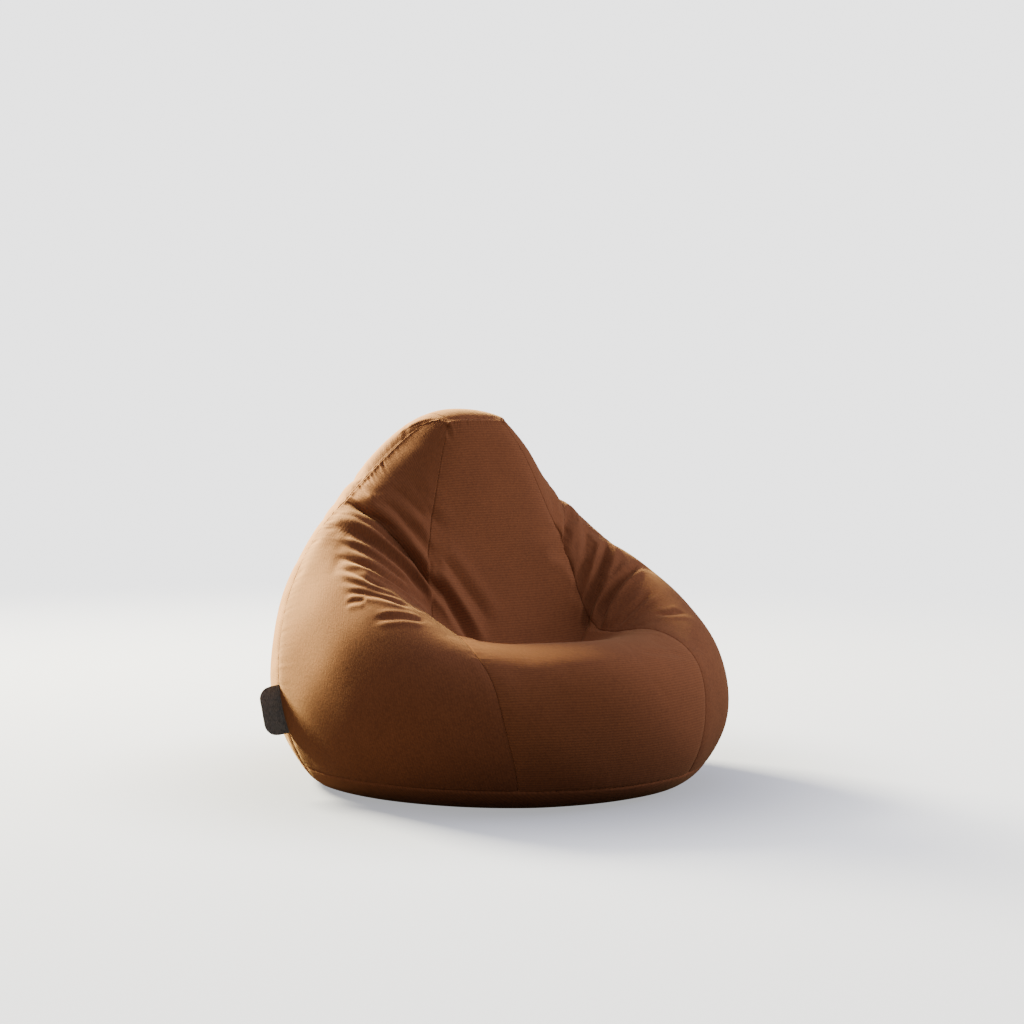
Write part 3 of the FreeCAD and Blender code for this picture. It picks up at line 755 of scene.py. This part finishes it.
def bead_filling():
    """The heap of beads: rings from the floor to the settled top, closed at both ends."""
    half = 130                                                   # columns from side to side
    u, v = np.meshgrid(np.linspace(0, 1, half), np.linspace(0, 0.975, 110), indexing="ij")
    f = under_front(u, v, FILL_UNDER)
    p, out, _, _ = frame_at(REAR, u, v)
    r = p - out * FILL_UNDER
    for end in (0, -1):
        r[end] = f[end] = (r[end] + f[end]) / 2
    around = np.concatenate([f, r[-2:0:-1]])                     # around, up
    around[..., 2] = np.clip(around[..., 2], FILL_FLOOR, FILL_TOP)
    count, rows = around.shape[:2]
    i = np.arange(count * rows).reshape(count, rows)
    j = np.roll(i, -1, axis=0)
    faces = np.stack([i[:, :-1].ravel(), j[:, :-1].ravel(), j[:, 1:].ravel(), i[:, 1:].ravel()], 1)
    opposite = [0] + list(range(count - 1, count - half + 1, -1)) + [half - 1]
    faces = faces.tolist()
    for row, turned in ((rows - 1, False), (0, True)):           # the top and the bottom
        for x in range(half - 1):
            quad = [i[x, row], i[x + 1, row], i[opposite[x + 1], row], i[opposite[x], row]]
            quad = list(dict.fromkeys(int(k) for k in quad))
            faces.append(quad[::-1] if turned else quad)
    mesh = bpy.data.meshes.new("bead_filling")
    mesh.from_pydata(around.reshape(-1, 3).tolist(), [], faces)
    mesh.polygons.foreach_set("use_smooth", np.ones(len(mesh.polygons), bool))
    obj = bpy.data.objects.new("bead_filling", mesh)
    bpy.context.scene.collection.objects.link(obj)
    face_outward(obj)
    return obj


# ------------------------------------------------------------------ the label
V_LINER_ZIP, LINER_TURN_Y = 0.155, 0.0372963
LABEL_W, LABEL_H, LABEL_T, LABEL_R, V_LABEL = 44 * MM, 100 * MM, 2.4 * MM, 26 * MM, 0.200


def label_frame():
    """The label's middle on the side seam, and the ways along the seam, out of it and through it."""
    near, v = np.array([0.004]), np.array([V_LABEL])
    m = unit(place(REAR, near, v + 0.0001) - place(REAR, near, v - 0.0001))[0]
    n = frame_at(FRONT, near, v)[1][0] + frame_at(REAR, near, v)[1][0]
    n = unit(n - m * (n @ m))
    return place(REAR, 0 * near, v)[0], m, n, np.cross(m, n)


def webbing_flag():
    """Webbing folded double, its outer corners rounded, standing out of the rear seam."""
    mid, m, n, t = label_frame()
    v = np.linspace(V_LABEL - 0.09, V_LABEL + 0.09, 200)
    seam = place(REAR, np.zeros(200), v) - mid
    cols, rows = 61, 29
    a = np.linspace(-1, 1, cols)[:, None]
    b = np.linspace(0, 1, rows)[None]
    x = a * LABEL_H / 2 + 0 * b
    start = np.interp(x[:, 0], seam @ m, seam @ n)[:, None] - 1.5 * MM
    corner = np.maximum(np.abs(x) - (LABEL_H / 2 - LABEL_R), 0)
    end = LABEL_W - LABEL_R + np.sqrt(np.maximum(LABEL_R ** 2 - corner ** 2, 0))
    y = start + (end - start) * b
    bend = MM * (1.6 * np.sin(3.0 * a + 0.4) * b + 2.4 * b ** 2 + 0.5 * np.sin(7 * a) * b)
    middle = mid + x[..., None] * m + y[..., None] * n + bend[..., None] * t
    slim = 1 - 0.35 * np.exp(-((1 - b) * 44 / 2.2)) - 0.3 * np.exp(-((1 - np.abs(a)) * 50 / 1.5))
    half = (LABEL_T / 2 * slim + 0 * a)[..., None] * t
    sides = [middle + half, middle - half]
    k = np.arange(cols * rows).reshape(cols, rows)
    size = cols * rows
    rim = np.concatenate([k[:, 0], k[-1, 1:], k[-2::-1, -1], k[0, -2:0:-1]])
    inner = middle.reshape(-1, 3)[rim]
    centre = middle[cols // 2, rows // 2]
    toward = unit(centre - inner) * 0.7 * MM
    groove = inner + toward
    nxt = np.roll(np.arange(len(rim)), -1)
    g = 2 * size + np.arange(len(rim))
    faces = np.concatenate([grid_faces(cols, rows), grid_faces(cols, rows, True) + size,
                            np.stack([rim, g, g[nxt], rim[nxt]], 1),
                            np.stack([g, rim + size, rim[nxt] + size, g[nxt]], 1)])
    points = np.concatenate([sides[0].reshape(-1, 3), sides[1].reshape(-1, 3), groove])
    flat = np.stack([x + 0 * b, (end - start) * b], -1).reshape(-1, 2)
    obj = mesh_object("side_label_webbing", points, faces, np.concatenate([flat, flat, flat[rim]]))
    face_outward(obj, close_holes=True)
    return obj


# ------------------------------------------------------------------ repeated small parts
def open_tree(name, inputs):
    """A geometry tree with a Geometry input, its named sizes and a Geometry output."""
    tree = bpy.data.node_groups.new(name, "GeometryNodeTree")
    tree.interface.new_socket("Geometry", in_out="INPUT", socket_type="NodeSocketGeometry")
    for key, kind in inputs:
        tree.interface.new_socket(key, in_out="INPUT", socket_type="NodeSocket" + kind)
    tree.interface.new_socket("Geometry", in_out="OUTPUT", socket_type="NodeSocketGeometry")
    return tree, tree.nodes.new("NodeGroupInput"), tree.nodes.new("NodeGroupOutput")


def row_of_loops():
    """Small closed loops of wire or thread, one after another along a path."""
    sizes = ("Spacing", "Loop Width", "Loop Length", "Wire Radius", "Lean")
    tree, given, result = open_tree("row_of_loops", [(key, "Float") for key in sizes]
                                    + [("Finish", "Material")])
    size_of = given.outputs
    path = add(tree, "GeometryNodeMeshToCurve", [("Mesh", size_of["Geometry"])])
    spots = add(tree, "GeometryNodeCurveToPoints",
                [("Curve", path.outputs["Curve"]), ("Length", size_of["Spacing"])], mode="LENGTH")
    ring = add(tree, "GeometryNodeCurvePrimitiveCircle", mode="RADIUS", _Resolution=8, _Radius=1.0)
    size = add(tree, "ShaderNodeCombineXYZ",
               [("X", size_of["Loop Length"]), ("Y", size_of["Loop Width"])], _Z=1.0)
    shaped = add(tree, "GeometryNodeTransform",
                 [("Geometry", ring.outputs["Curve"]), ("Scale", size.outputs["Vector"])])
    wire = add(tree, "GeometryNodeCurvePrimitiveCircle", [("Radius", size_of["Wire Radius"])],
               mode="RADIUS", _Resolution=5)
    loop = add(tree, "GeometryNodeCurveToMesh",
               [("Curve", shaped.outputs["Geometry"]), ("Profile Curve", wire.outputs["Curve"])])
    lean = add(tree, "ShaderNodeCombineXYZ", [("Y", size_of["Lean"])])
    turn = add(tree, "FunctionNodeRotateRotation",
               [("Rotation", spots.outputs["Rotation"]), ("Rotate By", lean.outputs["Vector"])],
               rotation_space="LOCAL")
    put = add(tree, "GeometryNodeInstanceOnPoints",
              [("Points", spots.outputs["Points"]), ("Instance", loop.outputs["Mesh"]),
               ("Rotation", turn.outputs["Rotation"])])
    real = add(tree, "GeometryNodeRealizeInstances", [("Geometry", put.outputs["Instances"])])
    smooth = add(tree, "GeometryNodeSetShadeSmooth", [("Geometry", real.outputs["Geometry"])])
    done = add(tree, "GeometryNodeSetMaterial",
               [("Geometry", smooth.outputs["Geometry"]), ("Material", size_of["Finish"])])
    tree.links.new(done.outputs["Geometry"], result.inputs["Geometry"])
    return tree


def along_path(tree, name, points, sizes):
    """Runs a tree along a path and gives back a plain mesh object."""
    mesh = bpy.data.meshes.new(name)
    links = [(k, k + 1) for k in range(len(points) - 1)]
    mesh.from_pydata([tuple(map(float, q)) for q in points], links, [])
    guide = bpy.data.objects.new(name + "_path", mesh)
    bpy.context.scene.collection.objects.link(guide)
    mod = guide.modifiers.new("rows", "NODES")
    mod.node_group = tree
    for item in tree.interface.items_tree:
        if item.in_out == "INPUT" and item.name in sizes:
            mod[item.identifier] = sizes[item.name]
    made = bpy.data.meshes.new_from_object(guide.evaluated_get(bpy.context.evaluated_depsgraph_get()))
    made.name = name
    obj = bpy.data.objects.new(name, made)
    bpy.context.scene.collection.objects.link(obj)
    bpy.data.objects.remove(guide)
    return obj


def chain_frame(v, sink, centre_y):
    """The middle of a zip chain at the back, the ways up the slope and out, and its turning point."""
    one = np.array([0.5]), np.array([v])
    mid, _, _, _ = frame_at(REAR, *one)
    m = unit(place(REAR, one[0], one[1] + 0.0001) - place(REAR, one[0], one[1] - 0.0001))[0]
    m[0] = 0
    m = unit(m)
    n = np.array([0, m[2], -m[1]])
    return mid[0] - n * sink, m, n, centre_y


def chain_path(zip_frame, up, out, half, count=240):
    """A level arc round the back, set up the slope and out from the chain's middle."""
    mid, m, n, centre_y = zip_frame
    q = mid + m * up + n * out
    radius = q[1] - centre_y
    a = np.radians(np.linspace(-half, half, count))
    return np.stack([radius * np.sin(a), centre_y + radius * np.cos(a), 0 * a + q[2]], 1)


# ------------------------------------------------------------------ materials
WAVE = 0.314159                               # a wave's scale times its period in metres


def linear(hex_colour):
    """sRGB hex to linear RGBA."""
    c = [int(hex_colour[i:i + 2], 16) / 255 for i in (1, 3, 5)]
    return tuple(x / 12.92 if x <= 0.04045 else ((x + 0.055) / 1.055) ** 2.4 for x in c) + (1.0,)


def material(name):
    m = bpy.data.materials.new(name)
    m.use_nodes = True
    return m, m.node_tree, m.node_tree.nodes["Principled BSDF"]


def add(tree, kind, links=(), **settings):
    """A node with its settings. links are (its input, the output that feeds it), and a setting
    whose name starts with _ is the value of the input of that name."""
    node = tree.nodes.new(kind)
    for key, value in settings.items():
        if key.startswith("_"):
            node.inputs[key[1:].replace("_", " ")].default_value = value
        else:
            setattr(node, key, value)
    for socket, source in links:
        tree.links.new(source, node.inputs[socket])
    return node


def weighted(tree, value, weight, rest=None):
    """value times weight, added to rest where there is one."""
    links = [(0, value)] + ([(2, rest)] if rest else [])
    node = add(tree, "ShaderNodeMath", links, operation="MULTIPLY_ADD" if rest else "MULTIPLY")
    node.inputs[1].default_value = weight
    return node.outputs[0]


def finish(shader, **values):
    for key, value in values.items():
        shader.inputs[key.replace("_", " ")].default_value = value


def ribbed_cloth(name, colour, dark, rib=5.3, pip=4.6, ribs=1.0, pips=1.0):
    """Dull polyester upholstery cloth, jacquard woven in fine cross ribs broken into small pips.
    Matt, with a soft nap that turns pale where light grazes it. rib and pip are millimetres."""
    m, tree, shader = material(name)
    cut = add(tree, "ShaderNodeUVMap", uv_map="cut").outputs["UV"]
    lines = add(tree, "ShaderNodeTexWave", [("Vector", cut)], wave_type="BANDS",
                bands_direction="Y", wave_profile="SIN", _Scale=WAVE / (rib * MM),
                _Distortion=1.6, _Detail=1.5, _Detail_Scale=0.5)
    knobs = add(tree, "ShaderNodeTexVoronoi", [("Vector", cut)], _Scale=1 / (pip * MM),
                feature="SMOOTH_F1", _Smoothness=0.5)
    yarns = add(tree, "ShaderNodeTexNoise", [("Vector", cut)], _Scale=1 / (1.5 * MM), _Detail=3.0,
                _Roughness=0.65)
    patchy = add(tree, "ShaderNodeTexNoise", [("Vector", cut)], _Scale=14.0, _Detail=3.0)
    rib_part = weighted(tree, lines.outputs["Fac"], 0.34 * ribs)
    pip_part = weighted(tree, knobs.outputs["Distance"], -0.42 * pips, rib_part)
    height = weighted(tree, yarns.outputs["Fac"], 0.45, pip_part)
    # colour: real patchy tone, and darker where the ribs and pips sink, which is painted shade in
    # their hollows
    two_tones(tree, shader, weighted(tree, patchy.outputs["Fac"], 0.35, height), dark, colour)
    raised(tree, shader, height, 0.3 * MM)
    finish(shader, Roughness=0.92, Specular_IOR_Level=0.2, Sheen_Weight=0.10, Sheen_Roughness=0.4,
           Sheen_Tint=linear("#f0c890"))
    return m


def graded_fac(tree, source, low, high, to_low=0.0, to_high=1.0, ease="LINEAR"):
    """Stretches the part of a value between low and high over a new range."""
    return add(tree, "ShaderNodeMapRange", [("Value", source)], interpolation_type=ease,
               _From_Min=low, _From_Max=high, _To_Min=to_low, _To_Max=to_high).outputs["Result"]


def two_tones(tree, shader, factor, dark, pale):
    tone = add(tree, "ShaderNodeMix", [("Factor", factor)], data_type="RGBA")
    tone.inputs["A"].default_value = linear(dark)
    tone.inputs["B"].default_value = linear(pale)
    tree.links.new(tone.outputs["Result"], shader.inputs["Base Color"])


def raised(tree, shader, height, depth):
    bump = add(tree, "ShaderNodeBump", [("Height", height)], _Strength=1.0, _Distance=depth)
    tree.links.new(bump.outputs["Normal"], shader.inputs["Normal"])


def woven(name, pale, dark, yarn, streak, low=0.35, high=0.65):
    """Narrow woven goods: yarns passing over and under each other, streaked along the warp."""
    m, tree, shader = material(name)
    where = add(tree, "ShaderNodeTexCoord").outputs["Object"]
    across = add(tree, "ShaderNodeTexWave", [("Vector", where)], bands_direction="X",
                 _Scale=WAVE / yarn, _Distortion=1.0)
    along = add(tree, "ShaderNodeTexWave", [("Vector", where)], bands_direction="Z",
                _Scale=WAVE / (1.4 * yarn), _Distortion=1.0)
    crossing = add(tree, "ShaderNodeMath", [(0, across.outputs["Fac"]), (1, along.outputs["Fac"])],
                   operation="MULTIPLY").outputs[0]
    drawn = add(tree, "ShaderNodeMapping", [("Vector", where)],
                _Scale=(1 / yarn, 1 / yarn, 1 / streak))
    fleck = add(tree, "ShaderNodeTexNoise", [("Vector", drawn.outputs["Vector"])], _Scale=0.7,
                _Detail=3.0, _Roughness=0.7)
    flecks = graded_fac(tree, fleck.outputs["Fac"], low, high)
    # colour: real streaks of pale and dark yarn, and paler where the yarns cross and rise, which is
    # painted light and shade on the weave
    two_tones(tree, shader, weighted(tree, crossing, 0.25, flecks), dark, pale)
    raised(tree, shader, crossing, 0.5 * yarn)
    finish(shader, Roughness=0.9, Specular_IOR_Level=0.25)
    return m


def cast(name, colour, rubbed, metallic, low, high):
    """Small smooth parts: a fine skin, duller in places, the colour rubbed where it is handled."""
    m, tree, shader = material(name)
    where = add(tree, "ShaderNodeTexCoord").outputs["Object"]
    cloud = add(tree, "ShaderNodeTexNoise", [("Vector", where)], _Scale=1 / (2.5 * MM), _Detail=4.0)
    grain = add(tree, "ShaderNodeTexNoise", [("Vector", where)], _Scale=1 / (0.3 * MM), _Detail=2.0)
    two_tones(tree, shader, graded_fac(tree, cloud.outputs["Fac"], 0.5, 0.7), colour, rubbed)
    dull = graded_fac(tree, grain.outputs["Fac"], 0.3, 0.7, low, high)
    tree.links.new(dull, shader.inputs["Roughness"])
    raised(tree, shader, grain.outputs["Fac"], 0.02 * MM)
    finish(shader, Metallic=metallic)
    return m


def pebbled(name, pale, dark, cell, scatter, depth):
    """Small cells side by side, each one a dome or a pinned spot, over a fine web, darker where they
    sink by painted shade.
    """
    m, tree, shader = material(name)
    where = add(tree, "ShaderNodeTexCoord").outputs["Object"]
    spots = add(tree, "ShaderNodeTexVoronoi", [("Vector", where)], _Scale=1 / cell,
                _Randomness=scatter)
    web = add(tree, "ShaderNodeTexNoise", [("Vector", where)], _Scale=5 / cell, _Detail=3.0,
              _Distortion=0.8)
    height = weighted(tree, web.outputs["Fac"], 0.3, spots.outputs["Distance"])
    # the sunk side always takes the dark colour: painted shade in the hollows
    low, high = (pale, dark) if depth < 0 else (dark, pale)
    two_tones(tree, shader, graded_fac(tree, height, 0.1, 0.9), low, high)
    raised(tree, shader, height, depth)
    finish(shader, Roughness=0.85)
    return m


def dress(obj, mat):
    obj.data.materials.clear()
    obj.data.materials.append(mat)


def fit(obj, node, mat=None):
    """Puts a piece on the sack in place of its plain node."""
    if mat:
        dress(obj, mat)
    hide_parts(node)
    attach(obj, BODY)


BROWN, DEEP_BROWN_AND_RIB_SHADE = "#8f583b", "#70432e"
# the cover: warm brown cloth in fine level ribs 5.3 mm apart, a shade deeper between them, which is
# painted shade in their hollows
cover_cloth = ribbed_cloth("ribbed_polyester_cloth", BROWN, DEEP_BROWN_AND_RIB_SHADE)
# the same cloth on the arms, where its pips show more than its ribs
arm_cloth = ribbed_cloth("ribbed_polyester_cloth_on_the_arms", BROWN, DEEP_BROWN_AND_RIB_SHADE, ribs=0.45, pips=1.3)
# the zip's tape: dark brown warp yarns 0.7 mm apart, close to the cloth in tone
tape_cloth = woven("woven_polyester_tape", "#5a3826", "#3a2418", 0.7 * MM, 6 * MM)
# the coil: even brown nylon with a soft shine
coil_nylon = cast("moulded_nylon_coil", "#3c2418", "#4c3022", 0.0, 0.35, 0.55)
# slider, pull and stops: brown lacquer with bare zinc showing through where it is handled
zip_metal = cast("lacquered_zinc_casting", "#33251c", "#8a7f76", 0.75, 0.28, 0.5)
# the liner: a thin dull web pinned in a 2.4 mm grid of bond points, darker at the sunk points by
# painted shade
liner_cloth = pebbled("spunbond_polyester_liner", "#40302a", "#2c1f19", 2.4 * MM, 0.1, 0.15 * MM)
# the fill: white foam beads about 4 mm across, grey in the gaps between them by painted shade
bead_foam = pebbled("expanded_polystyrene_beads", "#f2f2ee", "#c9c9c4", 4.2 * MM, 1.0, -1.4 * MM)
# the label: thick webbing of mixed pale and charcoal yarns, dull grey from afar
label_weave = woven("heathered_cotton_webbing", "#8b8c93", "#393a42", 1.1 * MM, 5 * MM, 0.25, 0.80)

# ------------------------------------------------------------------ building it
for name, net, u_lo, u_hi, v_lo, v_hi in PANELS:
    p, uv = panel_grid(net, u_lo, u_hi, v_lo, v_hi, STEP)
    turned = name.startswith("arm")                  # arms are cut across the ribs
    cut = uv[..., ::-1] if turned else uv
    if name == "backrest_panel":                     # its ribs lie level from side to side
        up = unit(p[len(p) // 2, -1] - p[len(p) // 2, 0])
        cut = np.stack([p[..., 0], p @ (up * [0, 1, 1])], -1)
    obj = cloth_panel(name + "_cloth", p, cut, flip=net is not FRONT)
    fit(obj, name, arm_cloth if turned else cover_cloth)

base = base_panel()
fit(base, "base_panel", cover_cloth)

liner = liner_front_cloth()
fit(liner, "liner_front", liner_cloth)

fill = bead_filling()
fit(fill, "bead_fill", bead_foam)

fit(webbing_flag(), "side_label", label_weave)

loops = row_of_loops()
cover_chain = chain_frame(V_BASE, 3.25 * MM, TURN_Y)
liner_chain = chain_frame(V_LINER_ZIP, 9.63 * MM, LINER_TURN_Y)
for name, chain, half, k, side in (("zipper_coil_upper", cover_chain, 36, 1.0, 1),
                                   ("zipper_coil_lower", cover_chain, 36, 1.0, -1),
                                   ("liner_zipper_coil_upper", liner_chain, 22, 0.8, 1),
                                   ("liner_zipper_coil_lower", liner_chain, 22, 0.8, -1)):
    coil = along_path(loops, name + "_teeth", chain_path(chain, side * 1.3 * MM * k, 0, half), {
        "Spacing": 1.3 * MM * k, "Loop Width": 1.35 * MM * k, "Loop Length": 0.78 * MM * k,
        "Wire Radius": 0.24 * MM * k, "Lean": math.radians(72), "Finish": coil_nylon})
    fit(coil, name)

# what keeps its plain shape
for mat, names in ((tape_cloth, "zipper_tape_upper zipper_tape_lower"),
                   (zip_metal, "zipper_slider zipper_pull zipper_top_stop zipper_bottom_stop"
                               " liner_zipper_slider liner_zipper_top_stop liner_zipper_bottom_stop"),
                   (liner_cloth, "liner_back liner_base"
                                 " liner_zipper_tape_upper liner_zipper_tape_lower")):
    for name in names.split():
        dress(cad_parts[name], mat)

# ------------------------------------------------------------------ studio
BACKDROP, DOME = 2.85, 0.45                    # the pale surround as seen, and as it lights
# the floor's painted glow at full strength, and the paper's own pallor
FLOOR_PAINTED_GLOW, FLOOR_PALE = 1.5, 0.20
KEY = 13500.0
WHITE, FLOOR_WHITE = (1, 1, 1.005, 1), (1, 1, 1.02, 1)


def studio_floor():
    """Pale paper that runs out into the surround, darker close to the sack, where its painted glow is
    dimmed into a painted shadow.
    """
    r = 40.0
    corners = [(-r, -r, 0), (r, -r, 0), (r, r, 0), (-r, r, 0)]
    obj = mesh_object("studio_floor", corners, [[0, 1, 2, 3]])
    m, tree, shader = material("pale_studio_paper")
    finish(shader, Base_Color=(FLOOR_PALE * 0.90, FLOOR_PALE, FLOOR_PALE * 1.7, 1), Roughness=1.0,
           Specular_IOR_Level=0.0)
    where = add(tree, "ShaderNodeTexCoord").outputs["Object"]
    gap = add(tree, "ShaderNodeVectorMath", [(0, where)], operation="LENGTH").outputs["Value"]
    far = graded_fac(tree, gap, 1.3, 4.5, ease="SMOOTHSTEP")
    # the paper glows to the camera, from 0.3 of full at the sack's foot to full a metre out: painted
    # light, dimmed into a painted shadow round the sack
    painted_glow_strength = graded_fac(tree, gap, 0.38, 1.0, 0.3 * FLOOR_PAINTED_GLOW, FLOOR_PAINTED_GLOW, "SMOOTHSTEP")
    glow = add(tree, "ShaderNodeEmission", _Color=WHITE, _Strength=BACKDROP)
    lift = add(tree, "ShaderNodeEmission", [("Strength", painted_glow_strength)], _Color=FLOOR_WHITE)
    near = add(tree, "ShaderNodeAddShader", [(0, shader.outputs[0]), (1, lift.outputs[0])])
    mix = add(tree, "ShaderNodeMixShader", [(0, far), (1, near.outputs[0]), (2, glow.outputs[0])])
    dull = add(tree, "ShaderNodeBsdfDiffuse", _Color=(0.05, 0.045, 0.05, 1))
    seen = seen_or_not(tree, mix, dull)
    tree.links.new(seen, tree.nodes["Material Output"].inputs["Surface"])
    dress(obj, m)


def seen_or_not(tree, seen, lit):
    """One shader for what the camera sees and another for the light that it sends."""
    path = add(tree, "ShaderNodeLightPath").outputs["Is Camera Ray"]
    return add(tree, "ShaderNodeMixShader",
               [(0, path), (1, lit.outputs[0]), (2, seen.outputs[0])]).outputs[0]


def studio_world():
    world = bpy.data.worlds.new("studio")
    bpy.context.scene.world = world
    world.use_nodes = True
    tree = world.node_tree
    tree.nodes.clear()
    seen = add(tree, "ShaderNodeBackground", _Color=WHITE, _Strength=BACKDROP)
    lit = add(tree, "ShaderNodeBackground", _Color=(1.0, 0.97, 0.95, 1), _Strength=DOME)
    add(tree, "ShaderNodeOutputWorld", [("Surface", seen_or_not(tree, seen, lit))])


def way_to(azimuth, elevation):
    """Azimuth 0 is in front of the chair."""
    a, e = math.radians(azimuth), math.radians(elevation)
    return Vector((math.sin(a) * math.cos(e), -math.cos(a) * math.cos(e), math.sin(e)))


def stand(name, data, spot, facing):
    obj = bpy.data.objects.new(name, data)
    obj.location = spot
    obj.rotation_euler = facing.to_track_quat("Z", "Y").to_euler()
    bpy.context.scene.collection.objects.link(obj)
    return obj


def area_light(name, azimuth, elevation, distance, size, power, colour):
    """A square soft light aimed at the seat."""
    light = bpy.data.lights.new(name, "AREA")
    light.energy, light.size, light.color = power, size, colour
    way = way_to(azimuth, elevation)
    stand(name, light, Vector((0, 0, 0.35)) + way * distance, way)


CAMERA_AZ, CAMERA_EL, CAMERA_FAR = -34.0, 10.0, 5.048
CAMERA_AIM = (0.019, -0.013, 0.551)


def studio_camera():
    cam = bpy.data.cameras.new("camera")
    cam.lens, cam.sensor_width = 85.0, 36.0
    spot = way_to(CAMERA_AZ, CAMERA_EL) * CAMERA_FAR
    bpy.context.scene.camera = stand("camera", cam, spot, spot - Vector(CAMERA_AIM))


studio_floor()
studio_world()
studio_camera()
area_light("key", CAMERA_AZ - 139, 27, 8.0, 2.3, KEY, (1.0, 0.86, 0.40))
area_light("top", 40, 72, 3.0, 2.2, 14, (1.0, 0.97, 0.93))
area_light("right_fill", 62, 20, 4.0, 2.0, 90, (1.0, 0.95, 0.90))
